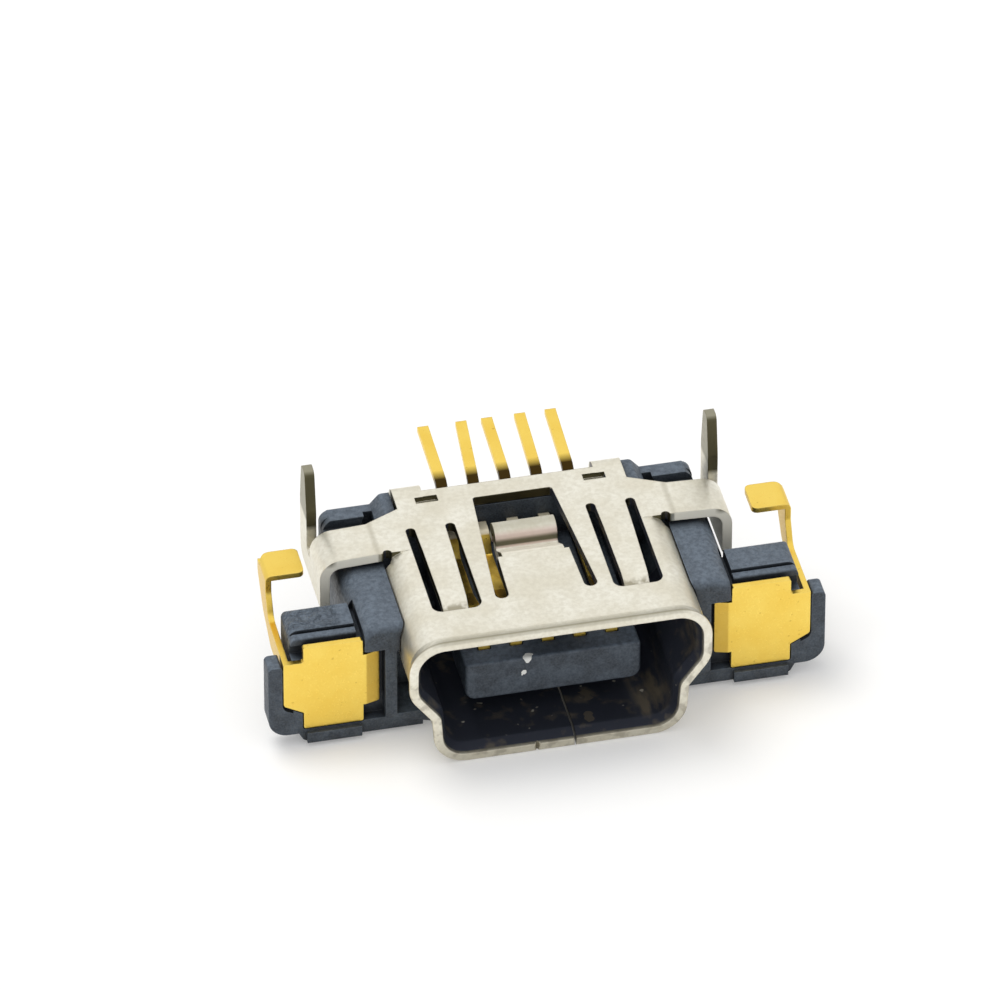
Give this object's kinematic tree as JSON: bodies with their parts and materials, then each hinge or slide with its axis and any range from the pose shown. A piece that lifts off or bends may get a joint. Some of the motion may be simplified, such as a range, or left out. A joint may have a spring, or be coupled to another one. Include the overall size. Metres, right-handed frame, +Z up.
{
  "type": "miniature data and charging socket",
  "caption": "Board-mount miniature socket with a keystone metal shell, a moulded tongue with gold contacts, rear solder leads and a gold charging contact in each wing.",
  "frame": {"origin": "under the middle of the whole part, mouth to lead tips, at the level of the flared lip's lowest point", "axes": "+Z up to the circuit board that the part is soldered under, -Y out of the plug mouth, +X to the right seen from the mouth"},
  "size_m": [0.014, 0.0084, 0.0051],
  "materials": {
    "plated_shell": "nickel-plated sheet, satin",
    "black_moulding": "fine moulded texture",
    "gold_contact": "gold-plated strip"
  },
  "bodies": {
    "root": {"shield_shell": "plated_shell", "housing": "black_moulding", "signal_contact_1": "gold_contact", "signal_contact_2": "gold_contact", "signal_contact_3": "gold_contact", "signal_contact_4": "gold_contact", "signal_contact_5": "gold_contact", "power_contact_left": "gold_contact", "power_contact_right": "gold_contact"}
  },
  "joints": []
}
